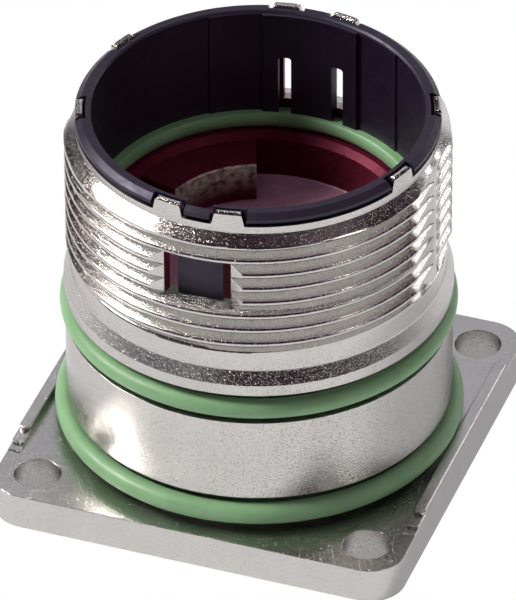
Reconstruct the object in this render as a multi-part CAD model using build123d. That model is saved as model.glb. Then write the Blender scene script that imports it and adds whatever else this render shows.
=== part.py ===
from build123d import *
import math
import os

os.makedirs("parts", exist_ok=True)

# Frame: millimetres, +Z up, origin on the connector's axis at the underside of the flange.
# -Y is the side of the keyway, +X and -X are the sides of the moulding split line.
# Angles about the axis are in degrees and counted from -Y toward +X.

# Flange plate with its four screw holes
FLANGE_W = 25.8
FLANGE_T = 2.3
FLANGE_CORNER_R = 2.2
HOLE_INSET = 2.5
HOLE_D = 2.8
EDGE_BREAK = 0.12

# Ribs along the two side edges of the flange, each with a lower step at its front end
RIB_H = 0.55
RIB_W = 0.8
RIB_FRONT_INSET = 5.8
RIB_BACK_INSET = 4.3
RIB_END_R = 0.28
RIB_STEP_LEN = 1.45
RIB_STEP_DROP = 0.3

# Outside of the body, in the order of its heights from the flange up
LOWER_GROOVE_D = 22.1
LOWER_GROOVE_W = 2.1
BODY_D = 23.2
BODY_H = 5.65
UPPER_GROOVE_D = 21.5
UPPER_GROOVE_W = 2.0
COLLAR_D = 23.3
COLLAR_H = 0.78
NECK_D = 22.5
NECK_CONE_H = 0.87
NECK_H = 1.3
THREAD_D = 23.0
THREAD_DEPTH = 0.6
THREAD_L = 8.31
FLAT_DEPTH = 0.46
RIM_D = 21.64
RIM_H = 0.51

# Lugs that stand up on the rim between the teeth of the sleeve
LUG_H = 0.93
LUG_TOP_W = 1.55
LUG_BASE_W = 1.95
LUG_CORNER_R = 0.32
LUG_ANGLES = (-10.0, 10.0, 71.0, 111.0, 170.0, 190.0, 249.0, 289.0)

# Windows through the threaded wall at -Y and +Y, bevelled through the depth of the thread
WINDOW_SILL_H = 3.0
WINDOW_H = 3.6
WINDOW_HALF_ANGLE = 11.0
WINDOW_BEVEL_ANGLE = 15.0

# Inside of the housing, in the order of its depths from the rim down
SLEEVE_BORE_D = 20.6
SLEEVE_BORE_DEPTH = 7.38
SEAT_D = 18.0
SEAT_CHAMFER = 0.38
POCKET_D = 17.2
POCKET_DEPTH = 3.01
FLOOR_T = 1.5
WIRE_HOLE_D = 9.6
REAR_CAVITY_D = 19.2
STOP_BLOCK_INNER_D = 12.0
STOP_BLOCK_START = 200.6
STOP_BLOCK_END = 254.0
STOP_BLOCK_H = 2.6

# Insulating sleeve
SLEEVE_GAP = 0.03
SLEEVE_WALL = 0.4
SLEEVE_LENGTH = 6.37
SLEEVE_RIM_D = 21.7
SLEEVE_RIM_H = 0.74
SLEEVE_RIM_SLOPE_H = 0.28
SLEEVE_RIM_SLOPE_W = 0.36
SLEEVE_MOUTH_CHAMFER = 0.16
NOTCH_GAP = 0.22
NOTCH_RELIEF = 0.1
PAD_T = 0.3
PAD_HALF_ANGLE = 18.0
STEP_T = 0.1
STEP_HALF_ANGLE = 37.0
SLOT_W = 0.78
SLOT_ANGLE = 10.0
SLOT_H = 4.03
SLOT_CORNER_R = 0.2
TONGUE_DROP = 0.3
KEYWAY_W = 1.6
KEYWAY_DEPTH = 0.24
KEYWAY_RIM_DEPTH = 0.6
KEYWAY_RIM_H = 0.42

# Seal rings
LOWER_CORD_D = 1.3
UPPER_CORD_D = 1.2
INNER_CORD_D = 1.2
RING_STRETCH = 0.05
LOWER_RING_LIFT = 0.46
UPPER_RING_LIFT = 0.3
INNER_RING_MEAN_D = 19.5

# Heights, radii and places worked out from the sizes above
HOLE_PITCH = FLANGE_W - 2 * HOLE_INSET
RIB_FRONT_Y = RIB_FRONT_INSET - FLANGE_W / 2
RIB_BACK_Y = FLANGE_W / 2 - RIB_BACK_INSET
LOWER_GROOVE_TOP_Z = FLANGE_T + LOWER_GROOVE_W
UPPER_GROOVE_Z = LOWER_GROOVE_TOP_Z + BODY_H
UPPER_GROOVE_TOP_Z = UPPER_GROOVE_Z + UPPER_GROOVE_W
COLLAR_TOP_Z = UPPER_GROOVE_TOP_Z + COLLAR_H
NECK_Z = COLLAR_TOP_Z + NECK_CONE_H
THREAD_START_Z = NECK_Z + NECK_H
LEAD_IN_Z = THREAD_START_Z + THREAD_L
RIM_Z = LEAD_IN_Z + RIM_H
LUG_TOP_Z = RIM_Z + LUG_H
SEAT_Z = RIM_Z - SLEEVE_BORE_DEPTH
POCKET_MOUTH_Z = SEAT_Z - SEAT_CHAMFER
POCKET_FLOOR_Z = SEAT_Z - POCKET_DEPTH
THREAD_R = THREAD_D / 2
RIM_R = RIM_D / 2
BORE_R = SLEEVE_BORE_D / 2
SLEEVE_R = BORE_R - SLEEVE_GAP
SLEEVE_BORE_R = SLEEVE_R - SLEEVE_WALL
SLEEVE_TOP_Z = RIM_Z + SLEEVE_RIM_H
SLEEVE_BOTTOM_Z = RIM_Z - SLEEVE_LENGTH
TONGUE_Z = SLEEVE_BOTTOM_Z - TONGUE_DROP
FRONT_AND_BACK = (0.0, 180.0)
OVERCUT = 1.0


def polar(r, angle):
    """A point in plan at a radius and an angle."""
    turn = math.radians(angle)
    return (r * math.sin(turn), -r * math.cos(turn))


def around(angle):
    """The turn about the axis that carries a shape built at -Y to the given angle."""
    return Rot(0, 0, angle)


def turned(points):
    """A solid of revolution from (radius, height) points."""
    outline = Polyline([(r, 0, z) for r, z in points], close=True)
    return revolve(make_face(outline), Axis.Z)


def disc(diameter, bottom_z, top_z):
    """An upright cylinder on the axis between two heights."""
    upright = (Align.CENTER, Align.CENTER, Align.MIN)
    return Pos(0, 0, bottom_z) * Cylinder(diameter / 2, top_z - bottom_z, align=upright)


def tube(outer_r, inner_r, bottom_z, top_z):
    return disc(2 * outer_r, bottom_z, top_z) - disc(2 * inner_r, bottom_z - OVERCUT, top_z + OVERCUT)


def block(plan, bottom_z, top_z):
    """A closed outline in plan, raised between two heights."""
    return Pos(0, 0, bottom_z) * extrude(make_face(plan), top_z - bottom_z, dir=(0, 0, 1))


def wedge(reach, start_angle, end_angle, bottom_z, top_z):
    """A triangular block with its point on the axis, between two angles."""
    plan = Polyline((0, 0), polar(reach, start_angle), polar(reach, end_angle), close=True)
    return block(plan, bottom_z, top_z)


def body_outline():
    """Outside of the body from the flange to the tops of the lugs, as (radius, height) points."""
    return [
        (0, 0),
        (LOWER_GROOVE_D / 2, 0),
        (LOWER_GROOVE_D / 2, LOWER_GROOVE_TOP_Z),
        (BODY_D / 2 - EDGE_BREAK, LOWER_GROOVE_TOP_Z),
        (BODY_D / 2, LOWER_GROOVE_TOP_Z + EDGE_BREAK),
        (BODY_D / 2, UPPER_GROOVE_Z - EDGE_BREAK),
        (BODY_D / 2 - EDGE_BREAK, UPPER_GROOVE_Z),
        (UPPER_GROOVE_D / 2, UPPER_GROOVE_Z),
        (UPPER_GROOVE_D / 2, UPPER_GROOVE_TOP_Z),
        (COLLAR_D / 2, UPPER_GROOVE_TOP_Z),
        (COLLAR_D / 2, COLLAR_TOP_Z),
        (NECK_D / 2, NECK_Z),
        (NECK_D / 2, THREAD_START_Z),
        (THREAD_R, THREAD_START_Z),
        (THREAD_R, LEAD_IN_Z - (THREAD_R - RIM_R)),
        (RIM_R, LEAD_IN_Z),
        (RIM_R, LUG_TOP_Z),
        (0, LUG_TOP_Z),
    ]


def thread_flats():
    """What the two flats at the split line take off the threaded length."""
    flat_x = THREAD_R - FLAT_DEPTH
    slab = Box(THREAD_D, THREAD_D, THREAD_L, align=(Align.MIN, Align.CENTER, Align.MIN))
    slab = Pos(flat_x, 0, THREAD_START_Z) * slab
    return [slab, mirror(slab, Plane.YZ)]


def window_cut():
    """One window at -Y: upright sides through the wall, then bevelled through the thread."""
    root_r = THREAD_R - THREAD_DEPTH
    right = [
        polar(BORE_R - OVERCUT, WINDOW_HALF_ANGLE),
        polar(root_r, WINDOW_HALF_ANGLE),
        polar(THREAD_R, WINDOW_BEVEL_ANGLE),
        polar(THREAD_R + OVERCUT, WINDOW_BEVEL_ANGLE),
    ]
    left = [(-x, y) for x, y in reversed(right)]
    sill_z = THREAD_START_Z + WINDOW_SILL_H
    return block(Polyline(right + left, close=True), sill_z, sill_z + WINDOW_H)


def lug_form():
    """A tapered tooth with rounded shoulders at -Y, reaching from the axis past the rim."""
    outline = Polyline(
        (-LUG_BASE_W / 2, -OVERCUT),
        (LUG_BASE_W / 2, -OVERCUT),
        (LUG_BASE_W / 2, 0),
        (LUG_TOP_W / 2, LUG_H),
        (-LUG_TOP_W / 2, LUG_H),
        (-LUG_BASE_W / 2, 0),
        close=True,
    )
    face = make_face(outline)
    shoulders = face.vertices().group_by(Axis.Y)[-1]
    face = fillet(shoulders, LUG_CORNER_R)
    return Pos(0, 0, RIM_Z) * extrude(Plane.XZ * face, RIM_D)


def gaps_between_lugs():
    """What is taken off the rim's ring to leave the lugs standing."""
    ring = tube(RIM_R + OVERCUT, BORE_R - OVERCUT, RIM_Z, LUG_TOP_Z + OVERCUT)
    return ring - [around(a) * lug_form() for a in LUG_ANGLES]


def flange_rib():
    """The rib along the +X edge of the flange, with its lower step at the front."""
    inner_x = FLANGE_W / 2 - RIB_W
    corner = (Align.MIN, Align.MIN, Align.MIN)
    top_z = FLANGE_T + RIB_H
    rib = Box(RIB_W, RIB_BACK_Y - RIB_FRONT_Y, top_z, align=corner)
    back_corner = rib.edges().filter_by(Axis.Z).group_by(Axis.Y)[-1].sort_by(Axis.X)[0]
    rib = Pos(inner_x, RIB_FRONT_Y, 0) * fillet(back_corner, RIB_END_R)
    step = Box(RIB_W, RIB_STEP_LEN + RIB_END_R, top_z - RIB_STEP_DROP, align=corner)
    return rib + Pos(inner_x, RIB_FRONT_Y - RIB_STEP_LEN, 0) * step


def flange():
    plate = extrude(RectangleRounded(FLANGE_W, FLANGE_W, FLANGE_CORNER_R), FLANGE_T)
    rib = flange_rib()
    plate = plate + rib + mirror(rib, Plane.YZ)
    drill = disc(HOLE_D, -OVERCUT, FLANGE_T + RIB_H + OVERCUT)
    return plate - GridLocations(HOLE_PITCH, HOLE_PITCH, 2, 2) * drill


def pocket():
    """The pocket below the seat, with the stop block left standing in it."""
    keep = wedge(POCKET_D, STOP_BLOCK_START, STOP_BLOCK_END, POCKET_FLOOR_Z - OVERCUT, POCKET_FLOOR_Z + STOP_BLOCK_H)
    keep = keep - disc(STOP_BLOCK_INNER_D, POCKET_FLOOR_Z - 2 * OVERCUT, SEAT_Z)
    return disc(POCKET_D, POCKET_FLOOR_Z, RIM_Z) - keep


def housing_hollow():
    """Everything taken out along the axis, from the rear cavity to the sleeve's bore."""
    rear = disc(REAR_CAVITY_D, -OVERCUT, POCKET_FLOOR_Z - FLOOR_T)
    wire_way = disc(WIRE_HOLE_D, 0, SEAT_Z)
    mouth = turned([(0, POCKET_MOUTH_Z), (POCKET_D / 2, POCKET_MOUTH_Z), (SEAT_D / 2, SEAT_Z), (0, SEAT_Z)])
    bore = disc(SLEEVE_BORE_D, SEAT_Z, LUG_TOP_Z + OVERCUT)
    return [rear, wire_way, pocket(), mouth, bore]


def housing():
    """The casting: flange, grooved body, thread blank with its windows and flats, rim and lugs."""
    body = turned(body_outline()) - gaps_between_lugs()
    body = body + flange()
    body = body - housing_hollow()
    body = body - thread_flats()
    return body - [around(a) * window_cut() for a in FRONT_AND_BACK]


def sleeve_blank():
    """The outside of the sleeve: a thin wall, with a thicker rim that sits on the housing."""
    rim_r = SLEEVE_RIM_D / 2
    return turned([
        (0, TONGUE_Z),
        (SLEEVE_R, TONGUE_Z),
        (SLEEVE_R, RIM_Z),
        (rim_r, RIM_Z),
        (rim_r, SLEEVE_TOP_Z - SLEEVE_RIM_SLOPE_H),
        (rim_r - SLEEVE_RIM_SLOPE_W, SLEEVE_TOP_Z),
        (0, SLEEVE_TOP_Z),
    ])


def sleeve_bore():
    """The sleeve's bore: a keyway at -Y, and at +Y a thicker pad with a step on each side of it."""
    key_x = KEYWAY_W / 2
    key_y = SLEEVE_BORE_R + KEYWAY_DEPTH
    key_angle = math.degrees(math.asin(key_x / SLEEVE_BORE_R))
    pad_start, pad_end = 180 - PAD_HALF_ANGLE, 180 + PAD_HALF_ANGLE
    step_start, step_end = 180 - STEP_HALF_ANGLE, 180 + STEP_HALF_ANGLE
    stretches = [
        (SLEEVE_BORE_R, key_angle, step_start),
        (SLEEVE_BORE_R - STEP_T, step_start, pad_start),
        (SLEEVE_BORE_R - PAD_T, pad_start, pad_end),
        (SLEEVE_BORE_R - STEP_T, pad_end, step_end),
        (SLEEVE_BORE_R, step_end, 360 - key_angle),
    ]
    arcs = [ThreePointArc(polar(r, a), polar(r, (a + b) / 2), polar(r, b)) for r, a, b in stretches]
    steps = [Line(before @ 1, after @ 0) for before, after in zip(arcs, arcs[1:])]
    keyway = Polyline(arcs[-1] @ 1, (-key_x, -key_y), (key_x, -key_y), arcs[0] @ 0)
    return block(arcs + steps + [keyway], TONGUE_Z - OVERCUT, SLEEVE_TOP_Z + OVERCUT)


def sleeve_mouth():
    """The chamfer round the sleeve's mouth, as a cone to cut with."""
    foot_z = SLEEVE_TOP_Z - SLEEVE_MOUTH_CHAMFER
    reach = SLEEVE_MOUTH_CHAMFER + OVERCUT
    return turned([(0, foot_z), (SLEEVE_BORE_R, foot_z), (SLEEVE_BORE_R + reach, foot_z + reach), (0, foot_z + reach)])


def keyway_at_rim():
    """The deeper mouth of the keyway, at the top of the sleeve's rim."""
    plan = Rectangle(KEYWAY_W, SLEEVE_BORE_R + KEYWAY_RIM_DEPTH, align=(Align.CENTER, Align.MAX))
    return Pos(0, 0, SLEEVE_TOP_Z - KEYWAY_RIM_H) * extrude(plan, KEYWAY_RIM_H + OVERCUT)


def below_sleeve():
    """What is taken off below the sleeve's lower end to leave the tips of the two tongues."""
    ring = disc(SLEEVE_BORE_D + OVERCUT, TONGUE_Z - OVERCUT, SLEEVE_BOTTOM_Z)
    tips = [wedge(SLEEVE_BORE_D, a - SLOT_ANGLE, a + SLOT_ANGLE, TONGUE_Z - 2 * OVERCUT, SLEEVE_BOTTOM_Z + OVERCUT)
            for a in FRONT_AND_BACK]
    return ring - tips


def slot_cut():
    """One narrow slot beside a tongue, open at the sleeve's lower end and rounded at its top."""
    plan = Rectangle(SLOT_W, SLEEVE_BORE_D, align=(Align.CENTER, Align.MAX))
    bottom = TONGUE_Z - OVERCUT
    slot = extrude(plan, SLEEVE_BOTTOM_Z + SLOT_H - bottom)
    top_corners = slot.edges().filter_by(Axis.Y).group_by(Axis.Z)[-1]
    return Pos(0, 0, bottom) * fillet(top_corners, SLOT_CORNER_R)


def lug_notch():
    """The room in the sleeve's rim for one lug at -Y."""
    plan = Rectangle(LUG_BASE_W + 2 * NOTCH_GAP, SLEEVE_RIM_D, align=(Align.CENTER, Align.MAX))
    notch = Pos(0, 0, RIM_Z - SLEEVE_GAP) * extrude(plan, SLEEVE_RIM_H + OVERCUT)
    return notch - disc(2 * (BORE_R - NOTCH_RELIEF), RIM_Z - OVERCUT, SLEEVE_TOP_Z + 2 * OVERCUT)


def insulating_sleeve():
    """The black sleeve: teeth between the lugs, keyway, pad, and two tongues between slots."""
    sleeve = sleeve_blank() - sleeve_bore() - sleeve_mouth() - keyway_at_rim() - below_sleeve()
    sleeve = sleeve - [around(a) * lug_notch() for a in LUG_ANGLES]
    sides = (-SLOT_ANGLE, SLOT_ANGLE)
    return sleeve - [around(a + side) * slot_cut() for a in FRONT_AND_BACK for side in sides]


def o_ring(cord_d, mean_d, z):
    return Pos(0, 0, z) * Torus(mean_d / 2, cord_d / 2)


def gripping_ring(cord_d, groove_d, bottom_z):
    """An O-ring stretched over a groove, flattened where it grips the groove's floor."""
    z = bottom_z + cord_d / 2
    ring = o_ring(cord_d, groove_d + cord_d - 2 * RING_STRETCH, z)
    return ring - disc(groove_d, z - cord_d, z + cord_d)


def inner_seal_ring(sleeve):
    """The ring on the seat inside, flattened by the seat, the bore and the sleeve's lower end."""
    z = SEAT_Z + INNER_CORD_D / 2 - RING_STRETCH
    ring = o_ring(INNER_CORD_D, INNER_RING_MEAN_D, z)
    return (ring & disc(SLEEVE_BORE_D, SEAT_Z, RIM_Z)) - sleeve


sleeve = insulating_sleeve()
pieces = {
    "housing": housing(),
    "insulating_sleeve": sleeve,
    "upper_o_ring": gripping_ring(UPPER_CORD_D, UPPER_GROOVE_D, UPPER_GROOVE_Z + UPPER_RING_LIFT),
    "flange_o_ring": gripping_ring(LOWER_CORD_D, LOWER_GROOVE_D, FLANGE_T + LOWER_RING_LIFT),
    "inner_seal_ring": inner_seal_ring(sleeve),
}

for name, piece in pieces.items():
    export_step(piece, f"parts/{name}.step")
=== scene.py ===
import math

import bmesh
import bpy
import numpy as np
from mathutils import Matrix, Vector


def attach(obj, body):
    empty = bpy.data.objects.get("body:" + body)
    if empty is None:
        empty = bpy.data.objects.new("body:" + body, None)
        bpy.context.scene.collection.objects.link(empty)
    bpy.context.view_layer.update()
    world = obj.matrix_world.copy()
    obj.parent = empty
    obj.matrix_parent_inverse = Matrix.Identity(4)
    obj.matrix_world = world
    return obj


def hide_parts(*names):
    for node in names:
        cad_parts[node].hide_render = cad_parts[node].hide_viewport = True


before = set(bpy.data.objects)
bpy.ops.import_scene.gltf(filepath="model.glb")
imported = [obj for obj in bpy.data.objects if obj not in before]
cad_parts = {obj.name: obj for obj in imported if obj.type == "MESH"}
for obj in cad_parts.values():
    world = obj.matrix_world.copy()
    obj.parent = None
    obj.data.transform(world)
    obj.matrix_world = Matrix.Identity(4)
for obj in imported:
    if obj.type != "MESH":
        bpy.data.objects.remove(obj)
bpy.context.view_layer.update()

# Sizes are in millimetres, heights count from the underside of the flange, and angles are in
# degrees about the axis, from -Y toward +X. Meshes are scaled to metres when they are finished.
MM = 0.001
MERGE = 0.0002
COLUMNS = 320
OVERCUT = 1.0

# Camera of the photograph
IMAGE_H = 600
CAMERA_AZIMUTH = 19.61
CAMERA_ELEVATION = 36.84
CAMERA_ROLL = -0.268
CAMERA_SIDEWAYS = 0.099
CAMERA_UPWARDS = -8.363
CAMERA_DISTANCE = 601.833
CAMERA_NEAR = 50.0
CAMERA_FAR = 5000.0
FOCAL_PIXELS = 9962.8
SENSOR = 36.0

# Flange plate and its screw holes
FLANGE_W = 25.8
FLANGE_T = 2.3
FLANGE_CORNER_R = 2.2
FLANGE_EDGE = 0.18
HOLE_INSET = 2.5
HOLE_D = 2.8

# Ribs along the flange's two side edges, with steps at the front as (front, back, height)
RIB_W = 0.8
RIB_H = 0.55
RIB_FRONT_Y = -7.1
RIB_BACK_Y = 8.6
RIB_END_R = 0.36
RIB_EDGE = 0.14
RIB_STEPS = ((-8.2, -7.25, 0.27), (-8.85, -8.3, 0.1))
RIB_STEP_R = 0.09
RIB_STEP_OVERLAP = 0.4

# Outside of the body: lower groove, cylinder, upper groove, collar, cone and neck
GROOVE_R = 11.05
GROOVE_W = 2.1
BODY_R = 11.6
BODY_H = 5.65
BODY_FOOT_EDGE_R = 0.12
BODY_TOP_EDGE_R = 0.03
UPPER_GROOVE_R = 10.75
UPPER_GROOVE_W = 2.0
COLLAR_R = 11.65
COLLAR_H = 0.78
COLLAR_FOOT_EDGE_R = 0.1
COLLAR_TOP_EDGE_R = 0.09
NECK_R = 11.25
NECK_CONE_H = 0.87
NECK_FILLET_R = 0.35

# Thread: a right-hand helix cut over two flats, with a lead-in cone and a shallow run-out. The
# crest height is that of the crest below the last one, at the crest angle.
PITCH = 1.0
CREST_R = 11.5
THREAD_DEPTH = 0.6
FLAT_DEPTH = 0.46
FLANK = 60.0
FLANK_STEPS = (0.0, 0.35, 0.7)
CREST_EDGE_R = 0.2
CREST_EDGE_STEPS = (20.0, 40.0)
ROOT_EDGE_R = 0.06
CREST_Z = 21.78
CREST_Z_ANGLE = 40.0
TURNS_BELOW = 9
TURNS_ABOVE = 2
THREAD_Z = 14.9
THREAD_TOP_Z = 23.36
LEAD_IN_SLOPE = 1.12
RUN_OUT_H = 0.25
RUN_OUT_SLOPE = 2.0
SPLIT_STRIP_HALF_W = 0.3

# Rim, its lugs and the windows
RIM_R = 10.82
RIM_Z = 23.82
LUG_H = 0.93
LUG_TOP_W = 1.55
LUG_BASE_W = 1.95
LUG_CORNER_R = 0.32
LUG_BEVEL = 0.13
LUG_BEVEL_FOOT_R = 0.1
LUG_BEVEL_TOP_R = 0.08
LUG_INNER_R = 0.34
LUG_FOOT_OVERLAP = 0.3
LUG_TOP_OVERLAP = 0.01
LUG_ANGLES = (-10.0, 10.0, 71.0, 111.0, 170.0, 190.0, 249.0, 289.0)
WINDOW_Z = 18.0
WINDOW_H = 3.6
WINDOW_HALF_ANGLE = 11.0
WINDOW_BEVEL_ANGLE = 15.0
WINDOW_BEVEL_OVERLAP = 0.02
FRONT_AND_BACK = (0.0, 180.0)

# Inside of the housing: bore, seat, pocket with its stop block, wire hole and rear cavity
BORE_R = 10.3
BORE_DEPTH = 7.38
SEAT_R = 9.0
SEAT_CHAMFER = 0.38
SEAT_EDGE_R = 0.06
POCKET_R = 8.6
POCKET_DEPTH = 3.01
POCKET_FILLET_R = 0.15
FLOOR_T = 1.5
WIRE_HOLE_R = 4.8
WIRE_HOLE_EDGE_R = 0.1
CAVITY_R = 9.6
CAVITY_FILLET_R = 0.3
CAVITY_EDGE_R = 0.12
STOP_BLOCK_R = 6.0
STOP_BLOCK_H = 2.6
STOP_BLOCK_ANGLES = (200.6, 254.0)
STOP_BLOCK_EDGE = 0.12
STOP_BLOCK_OVERLAP = 0.5

# Insulating sleeve with its rim, keyway, pad and steps
SLEEVE_GAP = 0.03
SLEEVE_WALL = 0.4
SLEEVE_LENGTH = 6.37
SLEEVE_RIM_R = 10.85
SLEEVE_RIM_H = 0.82
SLEEVE_SLOPE_H = 0.28
SLEEVE_SLOPE_W = 0.36
SLEEVE_SLOPE_EDGE_R = 0.05
SLEEVE_CHAMFER = 0.12
SLEEVE_CHAMFER_EDGE_R = 0.04
SLEEVE_FOOT = 0.32
NOTCH_GAP = 0.13
NOTCH_RELIEF = 0.1
PAD_T = 0.3
PAD_HALF_ANGLE = 18.0
STEP_T = 0.1
STEP_HALF_ANGLE = 37.0
PAD_EDGE = 0.04
PAD_OVERLAP = 0.1
PAD_TOP_GAP = 0.02
PAD_FOOT_GAP = 0.001
KEYWAY_W = 1.6
KEYWAY_DEPTH = 0.24
KEYWAY_RIM_DEPTH = 0.6
KEYWAY_RIM_H = 0.5

# Slots of the sleeve, and how far the tongues between them reach past its lower end
SLOT_W = 0.78
SLOT_ANGLE = 10.0
SLOT_H = 4.03
SLOT_CORNER_R = 0.2
TONGUE_DROP = 0.3

# Seal rings
RING_SQUEEZE = 0.05
UPPER_CORD_R = 0.6
UPPER_RING_LIFT = 0.3
FLANGE_CORD_R = 0.65
FLANGE_RING_LIFT = 0.46
INNER_CORD_R = 0.6
INNER_RING_R = 9.75

# Sizes and heights that follow
HOLE_PITCH = FLANGE_W - 2 * HOLE_INSET
GROOVE_TOP_Z = FLANGE_T + GROOVE_W
UPPER_GROOVE_Z = GROOVE_TOP_Z + BODY_H
UPPER_GROOVE_TOP_Z = UPPER_GROOVE_Z + UPPER_GROOVE_W
COLLAR_TOP_Z = UPPER_GROOVE_TOP_Z + COLLAR_H
NECK_Z = COLLAR_TOP_Z + NECK_CONE_H
ROOT_R = CREST_R - THREAD_DEPTH
FLAT_X = CREST_R - FLAT_DEPTH
RUN_OUT_TOP_Z = THREAD_Z + RUN_OUT_H
LUG_TOP_Z = RIM_Z + LUG_H
WINDOW_TOP_Z = WINDOW_Z + WINDOW_H
SEAT_Z = RIM_Z - BORE_DEPTH
POCKET_MOUTH_Z = SEAT_Z - SEAT_CHAMFER
POCKET_Z = SEAT_Z - POCKET_DEPTH
CAVITY_TOP_Z = POCKET_Z - FLOOR_T
STOP_BLOCK_TOP_Z = POCKET_Z + STOP_BLOCK_H
SLEEVE_R = BORE_R - SLEEVE_GAP
SLEEVE_BORE_R = SLEEVE_R - SLEEVE_WALL
SLEEVE_TOP_Z = RIM_Z + SLEEVE_RIM_H
SLEEVE_Z = RIM_Z - SLEEVE_LENGTH
TONGUE_Z = SLEEVE_Z - TONGUE_DROP
SLOT_TOP_Z = SLEEVE_Z + SLOT_H
SLEEVE_CUT_R = (SLEEVE_BORE_R - 2 * OVERCUT, SLEEVE_RIM_R + OVERCUT)


def polar(r, angle):
    """A point in plan at a radius and an angle."""
    turn = math.radians(angle)
    return (r * math.sin(turn), -r * math.cos(turn))


def ring_points(r, phi, z):
    """Points in space from arrays of radius, angle and height."""
    turn = np.radians(phi)
    return np.stack([r * np.sin(turn), -r * np.cos(turn), z + 0 * turn], axis=-1)


def mesh_object(name, points, faces):
    """A closed mesh object from points in millimetres, with doubled points joined."""
    mesh = bpy.data.meshes.new(name)
    mesh.from_pydata(np.asarray(points, float).tolist(), [], [list(f) for f in faces])
    bm = bmesh.new()
    bm.from_mesh(mesh)
    bmesh.ops.remove_doubles(bm, verts=bm.verts, dist=MERGE)
    bmesh.ops.dissolve_degenerate(bm, edges=bm.edges, dist=MERGE)
    bmesh.ops.recalc_face_normals(bm, faces=bm.faces)
    bm.to_mesh(mesh)
    bm.free()
    piece = bpy.data.objects.new(name, mesh)
    bpy.context.scene.collection.objects.link(piece)
    return piece


def grid_faces(rows, columns, closed_rows=False, closed_columns=True, first=0):
    """Quads between neighbouring rows and columns of a grid of points stored row by row."""
    faces = []
    for j in range(rows if closed_rows else rows - 1):
        here, above = first + j * columns, first + (j + 1) % rows * columns
        for i in range(columns if closed_columns else columns - 1):
            right = (i + 1) % columns
            faces.append([here + i, here + right, above + right, above + i])
    return faces


def rounded(points, steps=3):
    """A closed outline of (across, up, corner radius) points, with an arc at each round corner."""
    outline = []
    for k, (across, up, corner_r) in enumerate(points):
        if corner_r == 0:
            outline.append((across, up))
            continue
        corner = Vector((across, up))
        before = (Vector(points[k - 1][:2]) - corner).normalized()
        after = (Vector(points[(k + 1) % len(points)][:2]) - corner).normalized()
        half = before.angle(after) / 2
        centre = corner + (before + after).normalized() * corner_r / math.sin(half)
        start = corner + before * corner_r / math.tan(half) - centre
        end = corner + after * corner_r / math.tan(half) - centre
        turn = start.angle_signed(end)
        for s in range(steps + 1):
            spoke = Matrix.Rotation(-turn * s / steps, 2) @ start
            outline.append(tuple(centre + spoke))
    return outline


def modified(piece, kind, **settings):
    """Adds a modifier, applies it to the mesh and leaves the object as a plain mesh."""
    modifier = piece.modifiers.new(kind, kind)
    for key, value in settings.items():
        setattr(modifier, key, value)
    depsgraph = bpy.context.evaluated_depsgraph_get()
    shape = piece.evaluated_get(depsgraph)
    made = bpy.data.meshes.new_from_object(shape, preserve_all_data_layers=True, depsgraph=depsgraph)
    piece.modifiers.clear()
    piece.data = made
    return piece


def bevelled(piece, width, segments=3, angle=40.0, **settings):
    """Rounds the edges where the surface turns by more than an angle."""
    return modified(piece, "BEVEL", width=width, segments=segments, limit_method="ANGLE",
                    angle_limit=math.radians(angle), **settings)


def combine(piece, other, operation):
    """Joins or cuts a closed mesh with another, which is used up."""
    modified(piece, "BOOLEAN", object=other, operation=operation, solver="MANIFOLD")
    bpy.data.objects.remove(other)
    return piece


def prism(name, plan, bottom, top):
    """An upright block over a closed outline in plan."""
    n = len(plan)
    points = [(x, y, bottom) for x, y in plan] + [(x, y, top) for x, y in plan]
    faces = [list(range(n))[::-1], list(range(n, 2 * n))]
    faces += [(i, (i + 1) % n, n + (i + 1) % n, n + i) for i in range(n)]
    return mesh_object(name, points, faces)


def circle(x, y, r, steps=48):
    """A circle in plan."""
    turns = [math.tau * k / steps for k in range(steps)]
    return [(x + r * math.cos(turn), y + r * math.sin(turn)) for turn in turns]


def arc_points(r, start, end, steps):
    """Points in plan along an arc about the axis."""
    return [polar(r, start + (end - start) * k / steps) for k in range(steps + 1)]


def ring_block(name, radii, start, end, bottom, top, steps):
    """An upright block over the part of a ring between two angles."""
    inner_r, outer_r = radii
    plan = arc_points(outer_r, start, end, steps) + arc_points(inner_r, end, start, steps)
    return prism(name, plan, bottom, top)


def radial_block(name, width, radii, angle, bottom, top):
    """An upright block of even width that lies along a radius."""
    inner_r, outer_r = radii
    half = width / 2
    corners = ((-half, -outer_r), (half, -outer_r), (half, -inner_r), (-half, -inner_r))
    turn = Matrix.Rotation(math.radians(angle), 2)
    return prism(name, [tuple(turn @ Vector(corner)) for corner in corners], bottom, top)


def radial_form(name, outline, radii, angle):
    """An outline of (sideways, height) points drawn out along the radius at an angle."""
    n = len(outline)
    turn = Matrix.Rotation(math.radians(angle), 3, "Z")
    points = [turn @ Vector((x, -r, z)) for r in radii for x, z in outline]
    faces = [list(range(n)), list(range(n, 2 * n))[::-1]]
    faces += [(i, n + i, n + (i + 1) % n, (i + 1) % n) for i in range(n)]
    return mesh_object(name, points, faces)


def revolved(name, outline):
    """A closed solid of revolution from a closed loop of (radius, height) points."""
    phi = np.arange(COLUMNS) * 360.0 / COLUMNS
    rows = [ring_points(r + 0 * phi, phi, z) for r, z in outline]
    return mesh_object(name, np.concatenate(rows), grid_faces(len(rows), COLUMNS, closed_rows=True))


def finished(piece, sharp_angle=34.0):
    """Smooth shading with sharp edges kept and flat faces that stay flat, scaled to metres."""
    mesh = piece.data
    mesh.polygons.foreach_set("use_smooth", [True] * len(mesh.polygons))
    mesh.set_sharp_from_angle(angle=math.radians(sharp_angle))
    modified(piece, "WEIGHTED_NORMAL", weight=90, keep_sharp=True)
    piece.data.transform(Matrix.Scale(MM, 4))
    return piece


# Thread


def crest_radius(phi):
    """Radius of the thread's crests, less where the two flats cut them."""
    return FLAT_X / np.maximum(np.abs(np.sin(np.radians(phi))), FLAT_X / CREST_R)


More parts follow.
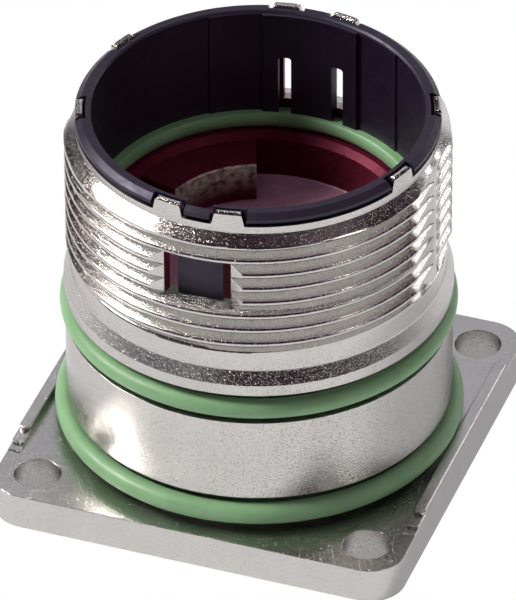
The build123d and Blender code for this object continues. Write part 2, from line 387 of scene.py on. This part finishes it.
def thread_rows(phi):
    """Heights over the crest line and radii of one pitch, from mid groove to mid groove."""
    slope = math.tan(math.radians(90.0 - FLANK))
    across = math.sin(math.radians(FLANK))
    drop = 1 - math.cos(math.radians(FLANK))
    crest = crest_radius(phi)
    edge_r = np.minimum(CREST_EDGE_R, (crest - ROOT_R - 2 * ROOT_EDGE_R) * 2)
    flank_h, flank_r = edge_r * across, crest - edge_r * drop
    foot_r = ROOT_R + ROOT_EDGE_R * drop
    foot_h = flank_h + (flank_r - foot_r) * slope
    rows = [(0.0, crest)]
    for turn in CREST_EDGE_STEPS:
        a = math.radians(turn)
        rows.append((edge_r * math.sin(a), crest - edge_r * (1 - math.cos(a))))
    for share in FLANK_STEPS:
        rows.append((flank_h + (foot_h - flank_h) * share, flank_r + (foot_r - flank_r) * share))
    for turn in (FLANK, FLANK / 2, 0.0):
        a = math.radians(turn)
        height = foot_h + ROOT_EDGE_R * (across - math.sin(a))
        rows.append((height, ROOT_R + ROOT_EDGE_R * (1 - math.cos(a))))
    above = [(h + 0 * phi, r + 0 * phi) for h, r in rows]
    below = [(-h, r) for h, r in above[::-1]]
    return below + above


def thread_limits(phi, r, z):
    """What the split strips, the run-out, the last ridge and the lead-in make of a radius."""
    crest = crest_radius(phi)
    from_split = np.abs(crest * np.cos(np.radians(phi)))
    r = np.where(from_split < SPLIT_STRIP_HALF_W, crest, r)
    fade = np.clip((z - THREAD_Z) / RUN_OUT_H, 0, 1)
    r = np.maximum(r, ROOT_R + (NECK_R - ROOT_R) * np.sqrt(1 - fade ** 2))
    r = np.minimum(r, NECK_R + RUN_OUT_SLOPE * np.maximum(z - RUN_OUT_TOP_Z, 0))
    from_crest_angle = (phi + 180) % 360 - 180 - CREST_Z_ANGLE
    last_crest = CREST_Z + PITCH + from_crest_angle / 360.0 * PITCH
    r = np.where(z > last_crest + CREST_EDGE_R / 2, crest, r)
    return np.minimum(r, RIM_R + LEAD_IN_SLOPE * (THREAD_TOP_Z - z))


def thread_surface():
    """Points and faces of the threaded outside, open at its top and bottom."""
    phi = np.arange(COLUMNS + 1) * 360.0 / COLUMNS
    rise = CREST_Z + (phi - CREST_Z_ANGLE) / 360.0 * PITCH
    rows = []
    for turn in range(-TURNS_BELOW, TURNS_ABOVE + 1):
        for height, r in thread_rows(phi):
            z = np.clip(rise + turn * PITCH + height, THREAD_Z, THREAD_TOP_Z)
            rows.append(ring_points(thread_limits(phi, r, z), phi, z))
    return np.concatenate(rows), grid_faces(len(rows), COLUMNS + 1, closed_columns=False)


# Housing


def housing_outside():
    """Outline of the body below the thread, from the underside up."""
    return rounded([
        (GROOVE_R, 0.0, 0),
        (GROOVE_R, GROOVE_TOP_Z, 0),
        (BODY_R, GROOVE_TOP_Z, BODY_FOOT_EDGE_R),
        (BODY_R, UPPER_GROOVE_Z, BODY_TOP_EDGE_R),
        (UPPER_GROOVE_R, UPPER_GROOVE_Z, 0),
        (UPPER_GROOVE_R, UPPER_GROOVE_TOP_Z, 0),
        (COLLAR_R, UPPER_GROOVE_TOP_Z, COLLAR_FOOT_EDGE_R),
        (COLLAR_R, COLLAR_TOP_Z, COLLAR_TOP_EDGE_R),
        (NECK_R, NECK_Z, NECK_FILLET_R),
        (NECK_R, THREAD_Z, 0),
    ])


def housing_inside():
    """Outline from the thread's top over the rim, and down through the inside to the underside."""
    return rounded([
        (RIM_R, THREAD_TOP_Z, 0),
        (RIM_R, LUG_TOP_Z - LUG_BEVEL, LUG_BEVEL_FOOT_R),
        (RIM_R - LUG_BEVEL, LUG_TOP_Z, LUG_BEVEL_TOP_R),
        (BORE_R, LUG_TOP_Z, LUG_INNER_R),
        (BORE_R, SEAT_Z, 0),
        (SEAT_R, SEAT_Z, SEAT_EDGE_R),
        (POCKET_R, POCKET_MOUTH_Z, SEAT_EDGE_R),
        (POCKET_R, POCKET_Z, POCKET_FILLET_R),
        (WIRE_HOLE_R, POCKET_Z, WIRE_HOLE_EDGE_R),
        (WIRE_HOLE_R, CAVITY_TOP_Z, WIRE_HOLE_EDGE_R),
        (CAVITY_R, CAVITY_TOP_Z, CAVITY_FILLET_R),
        (CAVITY_R, 0.0, CAVITY_EDGE_R),
        (GROOVE_R, 0.0, 0),
    ])


def housing_blank():
    """The turned body with its thread, as one closed mesh."""
    phi = np.arange(COLUMNS + 1) * 360.0 / COLUMNS
    points, faces = thread_surface()
    for outline in (housing_outside(), housing_inside()):
        rows = np.concatenate([ring_points(r + 0 * phi, phi, z) for r, z in outline])
        faces += grid_faces(len(outline), COLUMNS + 1, closed_columns=False, first=len(points))
        points = np.concatenate([points, rows])
    return mesh_object("housing_visual", points, faces)


def rounded_square(width, corner_r, steps=12):
    """Outline in plan of a square with rounded corners."""
    outline = []
    inset = width / 2 - corner_r
    for k, (sx, sy) in enumerate(((1, -1), (1, 1), (-1, 1), (-1, -1))):
        for s in range(steps + 1):
            a = math.radians(k * 90.0 - 90.0 + s * 90.0 / steps)
            outline.append((sx * inset + corner_r * math.cos(a), sy * inset + corner_r * math.sin(a)))
    return outline


def rib_block(side, front, back, height, corner_r):
    """A rounded block along one side edge of the flange, from inside the plate up."""
    inner, outer = side * (FLANGE_W / 2 - RIB_W), side * FLANGE_W / 2
    corners = ((inner, front), (outer, front), (outer, back), (inner, back))[::side]
    plan = rounded([(x, y, corner_r) for x, y in corners], 5)
    block = prism("rib", plan, FLANGE_T / 2, FLANGE_T + height)
    return bevelled(block, min(corner_r, RIB_EDGE), angle=50.0)


def flange_plate():
    """The square plate with its ribs and holes, all edges rounded."""
    plate = prism("plate", rounded_square(FLANGE_W, FLANGE_CORNER_R), 0.0, FLANGE_T)
    half = HOLE_PITCH / 2
    holes = [circle(x, y, HOLE_D / 2) for x in (-half, half) for y in (-half, half)]
    holes.append(circle(0, 0, (CAVITY_R + GROOVE_R) / 2, COLUMNS))
    for hole in holes:
        combine(plate, prism("drill", hole, -OVERCUT, FLANGE_T + 2 * OVERCUT), "DIFFERENCE")
    bevelled(plate, FLANGE_EDGE, miter_outer="MITER_ARC")
    for side in (1, -1):
        combine(plate, rib_block(side, RIB_FRONT_Y, RIB_BACK_Y, RIB_H, RIB_END_R), "UNION")
        for front, back, height in RIB_STEPS:
            step = rib_block(side, front, back + RIB_STEP_OVERLAP, height, RIB_STEP_R)
            combine(plate, step, "UNION")
    return plate


def lug_form(angle):
    """A lug seen from outside, tapered with rounded shoulders, drawn out through the rim."""
    base, top = LUG_BASE_W / 2, LUG_TOP_W / 2
    foot_z, top_z = RIM_Z - LUG_FOOT_OVERLAP, LUG_TOP_Z + LUG_TOP_OVERLAP
    outline = rounded([
        (-base, foot_z, 0),
        (base, foot_z, 0),
        (base, RIM_Z, 0),
        (top, top_z, LUG_CORNER_R),
        (-top, top_z, LUG_CORNER_R),
        (-base, RIM_Z, 0),
    ], 4)
    return radial_form("lug", outline, (BORE_R - OVERCUT, RIM_R + OVERCUT), angle)


def gaps_between_lugs():
    """What is cut away from the rim between the lugs."""
    inner_r, outer_r = BORE_R - OVERCUT / 2, RIM_R + OVERCUT / 2
    top = LUG_TOP_Z + OVERCUT
    gaps = revolved("gaps", [(inner_r, RIM_Z), (outer_r, RIM_Z), (outer_r, top), (inner_r, top)])
    for angle in LUG_ANGLES:
        combine(gaps, lug_form(angle), "DIFFERENCE")
    return gaps


def window_cutter(angle):
    """A window with upright sides through the wall, bevelled through the thread."""
    right = [
        polar(BORE_R - OVERCUT, WINDOW_HALF_ANGLE),
        polar(ROOT_R, WINDOW_HALF_ANGLE),
        polar(CREST_R + WINDOW_BEVEL_OVERLAP, WINDOW_BEVEL_ANGLE),
        polar(CREST_R + OVERCUT, WINDOW_BEVEL_ANGLE),
    ]
    left = [(-x, y) for x, y in reversed(right)]
    turn = Matrix.Rotation(math.radians(angle), 2)
    plan = [tuple(turn @ Vector(p)) for p in right + left]
    return prism("window", plan, WINDOW_Z, WINDOW_TOP_Z)


def stop_block():
    """The block in the pocket, which reaches into the pocket's wall and floor."""
    radii = (STOP_BLOCK_R, POCKET_R + STOP_BLOCK_OVERLAP)
    bottom = POCKET_Z - STOP_BLOCK_OVERLAP
    block = ring_block("stop", radii, *STOP_BLOCK_ANGLES, bottom, STOP_BLOCK_TOP_Z, 48)
    return bevelled(block, STOP_BLOCK_EDGE)


def housing():
    """The whole casting as one mesh."""
    body = housing_blank()
    combine(body, gaps_between_lugs(), "DIFFERENCE")
    for angle in FRONT_AND_BACK:
        combine(body, window_cutter(angle), "DIFFERENCE")
    combine(body, stop_block(), "UNION")
    combine(body, flange_plate(), "UNION")
    return finished(body)


# Insulating sleeve


def sleeve_blank():
    """The sleeve as a turned piece, down to the ends of its tongues."""
    return revolved("sleeve_visual", rounded([
        (SLEEVE_BORE_R, TONGUE_Z, 0),
        (SLEEVE_R, TONGUE_Z, 0),
        (SLEEVE_R, RIM_Z, 0),
        (SLEEVE_RIM_R - SLEEVE_FOOT, RIM_Z, 0),
        (SLEEVE_RIM_R, RIM_Z + SLEEVE_FOOT, 0),
        (SLEEVE_RIM_R, SLEEVE_TOP_Z - SLEEVE_SLOPE_H, SLEEVE_SLOPE_EDGE_R),
        (SLEEVE_RIM_R - SLEEVE_SLOPE_W, SLEEVE_TOP_Z, SLEEVE_SLOPE_EDGE_R),
        (SLEEVE_BORE_R + SLEEVE_CHAMFER, SLEEVE_TOP_Z, SLEEVE_CHAMFER_EDGE_R),
        (SLEEVE_BORE_R, SLEEVE_TOP_Z - SLEEVE_CHAMFER, SLEEVE_CHAMFER_EDGE_R),
    ], 2))


def pad(half_angle, thickness):
    """A thicker stretch of the sleeve's wall at the back."""
    radii = (SLEEVE_BORE_R - thickness, SLEEVE_BORE_R + PAD_OVERLAP)
    bottom, top = TONGUE_Z + PAD_FOOT_GAP, SLEEVE_TOP_Z - SLEEVE_CHAMFER - PAD_TOP_GAP
    block = ring_block("pad", radii, 180 - half_angle, 180 + half_angle, bottom, top, 80)
    return bevelled(block, PAD_EDGE, segments=2)


def lug_notch(angle):
    """The room in the sleeve's rim for one lug."""
    notch_r = BORE_R - NOTCH_RELIEF
    radii = (notch_r - OVERCUT, SLEEVE_RIM_R + OVERCUT)
    bottom, top = RIM_Z - SLEEVE_GAP, SLEEVE_TOP_Z + OVERCUT
    notch = radial_block("notch", LUG_BASE_W + 2 * NOTCH_GAP, radii, angle, bottom, top)
    inside = prism("inside", circle(0, 0, notch_r, COLUMNS), bottom - OVERCUT, top + OVERCUT)
    return combine(notch, inside, "DIFFERENCE")


def keyway_cuts():
    """The keyway down the bore, and the deeper stretch of it at the sleeve's mouth."""
    inner_r, top = SLEEVE_CUT_R[0], SLEEVE_TOP_Z + OVERCUT
    places = (
        (SLEEVE_BORE_R + KEYWAY_DEPTH, TONGUE_Z - OVERCUT),
        (SLEEVE_BORE_R + KEYWAY_RIM_DEPTH, SLEEVE_TOP_Z - KEYWAY_RIM_H),
    )
    return [radial_block("keyway", KEYWAY_W, (inner_r, r), 0, bottom, top) for r, bottom in places]


def slot_form(angle):
    """One slot beside a tongue, open below and rounded at its top."""
    half, bottom = SLOT_W / 2, TONGUE_Z - OVERCUT
    outline = rounded([
        (-half, bottom, 0),
        (half, bottom, 0),
        (half, SLOT_TOP_Z, SLOT_CORNER_R),
        (-half, SLOT_TOP_Z, SLOT_CORNER_R),
    ], 6)
    return radial_form("slot", outline, SLEEVE_CUT_R, angle)


def tongue_cuts(angle):
    """The slots on both sides of one tongue, and the cut below the wall up to the other tongue."""
    start, end = angle + SLOT_ANGLE, angle + 180.0 - SLOT_ANGLE
    below = ring_block("below", SLEEVE_CUT_R, start, end, TONGUE_Z - OVERCUT, SLEEVE_Z, 64)
    return [below, slot_form(angle - SLOT_ANGLE), slot_form(angle + SLOT_ANGLE)]


def insulating_sleeve():
    """The sleeve with its teeth, pad, steps, keyway, slots and tongues."""
    sleeve = sleeve_blank()
    for half_angle, thickness in ((STEP_HALF_ANGLE, STEP_T), (PAD_HALF_ANGLE, PAD_T)):
        combine(sleeve, pad(half_angle, thickness), "UNION")
    cuts = [lug_notch(angle) for angle in LUG_ANGLES] + keyway_cuts()
    for angle in FRONT_AND_BACK:
        cuts += tongue_cuts(angle)
    for cut in cuts:
        combine(sleeve, cut, "DIFFERENCE")
    return finished(sleeve)


# Seal rings


def seal_ring(name, mean_r, cord_r, centre_z, inner_limit=0.0, outer_limit=math.inf,
              floor_z=0.0, ceiling_z=math.inf, steps=36):
    """An O-ring, flattened where its neighbours hold it."""
    phi = np.arange(COLUMNS) * 360.0 / COLUMNS
    rows = []
    for k in range(steps):
        a = math.tau * k / steps
        r = min(max(mean_r + cord_r * math.cos(a), inner_limit), outer_limit)
        z = min(max(centre_z + cord_r * math.sin(a), floor_z), ceiling_z)
        rows.append(ring_points(r + 0 * phi, phi, z))
    ring = mesh_object(name, np.concatenate(rows), grid_faces(steps, COLUMNS, closed_rows=True))
    return finished(ring, sharp_angle=60.0)


def upper_ring():
    """The ring in the groove under the thread."""
    mean_r = UPPER_GROOVE_R + UPPER_CORD_R - RING_SQUEEZE
    centre_z = UPPER_GROOVE_Z + UPPER_CORD_R + UPPER_RING_LIFT
    return seal_ring("upper_ring_visual", mean_r, UPPER_CORD_R, centre_z, inner_limit=UPPER_GROOVE_R)


def flange_ring():
    """The ring in the groove above the flange."""
    mean_r = GROOVE_R + FLANGE_CORD_R - RING_SQUEEZE
    centre_z = FLANGE_T + FLANGE_CORD_R + FLANGE_RING_LIFT
    return seal_ring("flange_ring_visual", mean_r, FLANGE_CORD_R, centre_z, inner_limit=GROOVE_R)


def inner_ring():
    """The ring on the seat, held down by the sleeve."""
    centre_z = SEAT_Z + INNER_CORD_R - RING_SQUEEZE
    return seal_ring("inner_ring_visual", INNER_RING_R, INNER_CORD_R, centre_z, outer_limit=BORE_R,
                     floor_z=SEAT_Z, ceiling_z=SLEEVE_Z)


# Materials

# Zones of the casting's surface for the duller finish, the painted shade and light inside and the window
# sill, by how far each one passes the face that it colours
FACE_ZONE = 0.1
CAVITY_SKIN = 0.05
BORE_SKIN = 0.03
SKIN_CHANGE_H = 0.2
STOP_ZONE = 0.15
STOP_FOOT_ZONE = 0.3
STOP_TOP_ZONE = 0.4


class Nodes:
    """Adds shader nodes to a node tree and links them in one call."""

    def __init__(self, tree):
        self.tree = tree
        tree.nodes.clear()

    def add(self, kind, inputs=None, **settings):
        """A node with values or links on its inputs."""
        node = self.tree.nodes.new(kind)
        for key, value in settings.items():
            setattr(node, key, value)
        for key, value in (inputs or {}).items():
            self.put(value, node.inputs[key])
        return node

    def put(self, value, socket):
        """Links an output to a socket, or sets a plain value on it."""
        if isinstance(value, bpy.types.NodeSocket):
            self.tree.links.new(value, socket)
        else:
            socket.default_value = value

    def math(self, operation, *values):
        """Arithmetic on numbers."""
        return self.add("ShaderNodeMath", dict(enumerate(values)), operation=operation).outputs[0]

    def vector(self, operation, *values, result="Vector"):
        """Arithmetic on vectors and colours."""
        node = self.add("ShaderNodeVectorMath", dict(enumerate(values)), operation=operation)
        return node.outputs[result]

    def scaled(self, vector, factor):
        """A vector or colour times a number."""
        inputs = {"Vector": vector, "Scale": factor}
        return self.add("ShaderNodeVectorMath", inputs, operation="SCALE").outputs["Vector"]

    def noise(self, where, scale, detail=2.0, roughness=0.5):
        """Fractal noise around 0.5 with scale in cycles per millimetre."""
        inputs = {"Vector": where, "Scale": scale, "Detail": detail, "Roughness": roughness}
        return self.add("ShaderNodeTexNoise", inputs).outputs["Fac"]

    def ramp(self, value, *stops):
        """A colour ramp from (position, colour) stops."""
        node = self.add("ShaderNodeValToRGB", {"Fac": value})
        elements = node.color_ramp.elements
        elements.remove(elements[1])
        for k, (position, colour) in enumerate(stops):
            element = elements[0] if k == 0 else elements.new(position)
            element.position = position
            element.color = (*colour, 1)
        return node.outputs["Color"]

    def span(self, value, low, high, to_low=0.0, to_high=1.0):
        """Smooth change of a value from one range to another."""
        inputs = {"Value": value, "From Min": low, "From Max": high, "To Min": to_low, "To Max": to_high}
        return self.add("ShaderNodeMapRange", inputs, interpolation_type="SMOOTHSTEP").outputs["Result"]

    def mix(self, factor, a, b):
        """A colour between two others."""
        node = self.add("ShaderNodeMix", data_type="RGBA")
        for key, value in (("Factor", factor), ("A", a), ("B", b)):
            self.put(value, [s for s in node.inputs if s.name == key and s.enabled][0])
        return [s for s in node.outputs if s.enabled][0]

    def bump(self, height, distance, normal=None):
        """A surface normal from a height map, with the depth in metres."""
        inputs = {"Height": height, "Distance": distance}
        if normal is not None:
            inputs["Normal"] = normal
        return self.add("ShaderNodeBump", inputs).outputs["Normal"]

    def millimetres(self):
        """The place on the object in millimetres."""
        return self.scaled(self.add("ShaderNodeTexCoord").outputs["Object"], 1 / MM)

    def surface(self, **inputs):
        """The shader and the output, with inputs named as on the shader's sockets."""
        named = {key.replace("_", " "): value for key, value in inputs.items()}
        shader = self.add("ShaderNodeBsdfPrincipled", named)
        self.add("ShaderNodeOutputMaterial", {"Surface": shader.outputs[0]})


def new_material(name):
    """An empty node material."""
    material = bpy.data.materials.new(name)
    material.use_nodes = True
    return material, Nodes(material.node_tree)


def radius_and_height(nodes, place):
    """The distance from the axis and the height."""
    flat = nodes.vector("MULTIPLY", place, (1, 1, 0))
    radius = nodes.vector("LENGTH", flat, result="Value")
    return radius, nodes.add("ShaderNodeSeparateXYZ", {0: place}).outputs["Z"]


def inside_limit(nodes, height):
    """The radius below which the casting gets a duller finish and a painted dark shade and reflection:
    in the cavity, the bore and the window sides.
    """
    radii = (CAVITY_R + CAVITY_SKIN, BORE_R + BORE_SKIN)
    limit = nodes.span(height, THREAD_Z, THREAD_Z + SKIN_CHANGE_H, *radii)
    middle, reach = (WINDOW_Z + WINDOW_TOP_Z) / 2, WINDOW_H / 2 + FACE_ZONE
    beside_window = nodes.math("COMPARE", height, middle, reach)
    return nodes.math("MULTIPLY_ADD", beside_window, ROOT_R - BORE_R - 2 * BORE_SKIN, limit)


def nickel():
    """Satin nickel plate over a blasted casting, duller inside, with a painted dark maroon shade and
    reflection inside, painted mauve light on the pocket floor, and a bare stop block whose face fades
    into the painted shade toward its foot.
    """
    material, nodes = new_material("nickel_visual")
    place = nodes.millimetres()
    radius, height = radius_and_height(nodes, place)
    inside = nodes.math("LESS_THAN", radius, inside_limit(nodes, height))
    pocket_floor = nodes.math("MULTIPLY", nodes.math("COMPARE", height, POCKET_Z, FACE_ZONE), inside)
    # The stop block's bare face, with painted shade growing toward its foot
    stop = nodes.math("MULTIPLY", nodes.math("COMPARE", radius, STOP_BLOCK_R, STOP_ZONE),
                      nodes.span(height, POCKET_Z + STOP_FOOT_ZONE, STOP_BLOCK_TOP_Z - STOP_TOP_ZONE))
    sill = nodes.math("MULTIPLY", nodes.math("COMPARE", height, WINDOW_Z, FACE_ZONE / 2),
                      nodes.math("GREATER_THAN", radius, BORE_R - FACE_ZONE))

    cloud = nodes.noise(place, 0.35, 3.0)
    stain = nodes.noise(place, 1.6, 4.0, 0.7)
    plate = nodes.ramp(cloud, (0.3, (0.56, 0.547, 0.525)), (0.7, (0.605, 0.592, 0.57)))
    # Painted dark maroon shade and reflection on the inside of the casting
    painted_inside_shade = nodes.ramp(stain, (0.3, (0.085, 0.006, 0.019)), (0.7, (0.125, 0.012, 0.032)))
    # Painted mauve light and reflection on the pocket floor, lighter than the painted shade on the walls
    painted_pocket_floor_light = nodes.ramp(stain, (0.3, (0.56, 0.29, 0.41)), (0.7, (0.68, 0.37, 0.5)))
    bare = nodes.ramp(stain, (0.35, (0.14, 0.1, 0.09)), (0.6, (0.7, 0.6, 0.54)))
    colour = nodes.mix(pocket_floor, nodes.mix(inside, plate, painted_inside_shade), painted_pocket_floor_light)
    colour = nodes.mix(sill, nodes.mix(stop, colour, bare), plate)

    pits = nodes.span(nodes.noise(place, 12.0, 1.0), 0.57, 0.74)
    grain = nodes.math("ADD", nodes.noise(place, 10.0, 3.0, 0.7), nodes.math("MULTIPLY", pits, 0.8))
    depth = nodes.math("ADD", nodes.span(height, NECK_Z, THREAD_Z, 0.015 * MM, 0.009 * MM),
                       nodes.math("MULTIPLY", sill, 0.12 * MM))
    waved = nodes.bump(nodes.noise(place, 0.9, 2.0), 0.006 * MM)
    dull = nodes.math("SUBTRACT", inside, sill)
    gloss = nodes.span(grain, 0.3, 0.7, 0.08, 0.13)
    nodes.surface(
        Base_Color=colour,
        Metallic=nodes.span(dull, 0.0, 1.0, 1.0, 0.2),
        Roughness=nodes.math("MULTIPLY_ADD", dull, 0.3, gloss),
        # A painted maroon tint on the reflections inside the casting
        Specular_Tint=nodes.mix(inside, (0.8, 0.78, 0.79, 1), (0.4, 0.16, 0.22, 1)),
        Normal=nodes.bump(grain, depth, waved),
    )
    return material


def black_plastic():
    """Satin moulded plastic, nearly black with a violet cast."""
    material, nodes = new_material("black_plastic_visual")
    place = nodes.millimetres()
    cloud = nodes.noise(place, 0.5, 3.0)
    nodes.surface(
        Base_Color=nodes.ramp(cloud, (0.3, (0.011, 0.005, 0.016)), (0.7, (0.019, 0.009, 0.027))),
        Roughness=nodes.span(nodes.noise(place, 2.5, 3.0), 0.3, 0.7, 0.4, 0.52),
        IOR=1.55,
        Specular_Tint=(0.78, 0.78, 0.95, 1),
        Normal=nodes.bump(nodes.noise(place, 14.0, 2.0), 0.002 * MM),
    )
    return material


def green_rubber():
    """Smooth light green rubber with faint clouds and a waxy sheen."""
    material, nodes = new_material("green_rubber_visual")
    place = nodes.millimetres()
    cloud = nodes.noise(place, 0.45, 4.0, 0.6)
    nodes.surface(
        Base_Color=nodes.ramp(cloud, (0.3, (0.2, 0.39, 0.19)), (0.7, (0.25, 0.47, 0.24))),
        Roughness=nodes.span(nodes.noise(place, 1.8, 3.0), 0.3, 0.7, 0.38, 0.52),
        Sheen_Weight=0.22,
        Sheen_Roughness=0.4,
        Normal=nodes.bump(nodes.noise(place, 10.0, 2.0), 0.003 * MM),
    )
    return material


# Studio

# Soft lights on the sky as (azimuth, elevation, inner radius, outer radius, colour), azimuths
# counted as all angles here, radii in degrees.
SKY_LIGHTS = (
    (-77.0, 41.0, 5.0, 11.0, (48.0, 46.5, 45.0)),
    (-76.0, 66.0, 8.0, 26.0, (0.55, 0.51, 0.49)),
    (-104.0, 44.0, 4.0, 14.0, (0.3, 0.28, 0.27)),
    (74.0, 36.0, 1.5, 5.0, (18.0, 17.5, 17.0)),
    (156.0, 30.0, 7.0, 12.0, (2.6, 2.55, 2.5)),
    (141.0, 15.0, 3.0, 9.0, (4.5, 4.5, 4.5)),
    (-162.0, 37.0, 9.0, 20.0, (0.6, 0.62, 0.66)),
    (125.0, 76.0, 12.0, 30.0, (0.58, 0.49, 0.535)),
    (-17.0, 10.0, 4.0, 11.0, (0.4, 0.4, 0.4)),
    (-60.0, 6.0, 20.0, 44.0, (0.07, 0.075, 0.09)),
)
SKY_DARK = (0.035, 0.018, 0.028)
BACKDROP_AZIMUTH = 195.0
BACKDROP_TOP = 16.0
BACKDROP = (1.4, 1.4, 1.42)
WHITE = (1, 1, 1, 1)
FLOOR_R = 260.0
FLOOR_DROP = 0.0002
FLOOR_COLOUR = (0.55, 0.55, 0.55, 1)
FLOOR_FILL = 0.46
FLOOR_FILL_COLOUR = (0.95, 0.97, 1, 1)


def sky_direction(azimuth, elevation):
    """The direction toward a place on the sky."""
    x, y = polar(math.cos(math.radians(elevation)), azimuth)
    return (x, y, math.sin(math.radians(elevation)))


def sky():
    """A dark studio with soft lights and a pale backdrop, seen by the camera as plain white."""
    world = bpy.data.worlds.new("studio")
    bpy.context.scene.world = world
    world.use_nodes = True
    nodes = Nodes(world.node_tree)
    toward = nodes.add("ShaderNodeTexCoord").outputs["Generated"]
    light = SKY_DARK
    for azimuth, elevation, inner, outer, colour in SKY_LIGHTS:
        aim = nodes.vector("DOT_PRODUCT", toward, sky_direction(azimuth, elevation), result="Value")
        share = nodes.span(aim, math.cos(math.radians(outer)), math.cos(math.radians(inner)))
        light = nodes.vector("ADD", light, nodes.scaled(colour, share))
    side = nodes.vector("DOT_PRODUCT", toward, sky_direction(BACKDROP_AZIMUTH, 0.0), result="Value")
    height = nodes.add("ShaderNodeSeparateXYZ", {0: toward}).outputs["Z"]
    top = math.radians(BACKDROP_TOP)
    low = nodes.span(height, math.sin(top), math.sin(top / 2))
    share = nodes.math("MULTIPLY", low, nodes.span(side, 0.75, 0.92))
    light = nodes.vector("ADD", light, nodes.scaled(BACKDROP, share))
    lit = nodes.add("ShaderNodeBackground", {"Color": light})
    plain = nodes.add("ShaderNodeBackground", {"Color": WHITE})
    seen = nodes.add("ShaderNodeLightPath").outputs["Is Camera Ray"]
    both = nodes.add("ShaderNodeMixShader", {0: seen, 1: lit.outputs[0], 2: plain.outputs[0]})
    nodes.add("ShaderNodeOutputWorld", {"Surface": both.outputs[0]})


def floor():
    """A plain pale sheet, lit by the sky, that looks evenly white from above."""
    points = [(x * MM, y * MM, -FLOOR_DROP * MM) for x, y in circle(0, 0, FLOOR_R, 96)]
    mesh = bpy.data.meshes.new("floor")
    mesh.from_pydata(points, [], [list(range(len(points)))])
    sheet = bpy.data.objects.new("floor", mesh)
    bpy.context.scene.collection.objects.link(sheet)
    material, nodes = new_material("pale_floor")
    matt = nodes.add("ShaderNodeBsdfDiffuse", {"Color": FLOOR_COLOUR})
    fill = nodes.add("ShaderNodeEmission", {"Color": FLOOR_FILL_COLOUR, "Strength": FLOOR_FILL})
    lit = nodes.add("ShaderNodeAddShader", {0: matt.outputs[0], 1: fill.outputs[0]})
    plain = nodes.add("ShaderNodeEmission", {"Color": WHITE, "Strength": 1.0})
    seen = nodes.add("ShaderNodeLightPath").outputs["Is Camera Ray"]
    both = nodes.add("ShaderNodeMixShader", {0: seen, 1: lit.outputs[0], 2: plain.outputs[0]})
    nodes.add("ShaderNodeOutputMaterial", {"Surface": both.outputs[0]})
    mesh.materials.append(material)


def camera():
    """The photograph's camera, from its angles and its distance."""
    back = Vector(sky_direction(CAMERA_AZIMUTH, CAMERA_ELEVATION))
    azimuth = math.radians(CAMERA_AZIMUTH)
    right = Vector((math.cos(azimuth), math.sin(azimuth), 0))
    up = back.cross(right)
    c, s = math.cos(math.radians(CAMERA_ROLL)), math.sin(math.radians(CAMERA_ROLL))
    turn = Matrix((c * right + s * up, -s * right + c * up, back)).transposed()
    place = turn @ Vector((-CAMERA_SIDEWAYS, -CAMERA_UPWARDS, CAMERA_DISTANCE)) * MM
    data = bpy.data.cameras.new("camera")
    data.sensor_width = SENSOR
    data.lens = FOCAL_PIXELS / IMAGE_H * SENSOR
    data.clip_start = CAMERA_NEAR * MM
    data.clip_end = CAMERA_FAR * MM
    eye = bpy.data.objects.new("camera", data)
    bpy.context.scene.collection.objects.link(eye)
    eye.matrix_world = Matrix.Translation(place) @ turn.to_4x4()
    bpy.context.scene.camera = eye


def place_piece(piece, material, node):
    """Gives a piece its material and puts it in the place of a node of the frame."""
    piece.data.materials.clear()
    piece.data.materials.append(material)
    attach(piece, "root")
    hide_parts(node)


camera()
sky()
floor()
bpy.context.scene.view_settings.view_transform = "Standard"

rubber = green_rubber()
place_piece(housing(), nickel(), "housing")
place_piece(insulating_sleeve(), black_plastic(), "insulating_sleeve")
place_piece(upper_ring(), rubber, "upper_o_ring")
place_piece(flange_ring(), rubber, "flange_o_ring")
place_piece(inner_ring(), rubber, "inner_seal_ring")
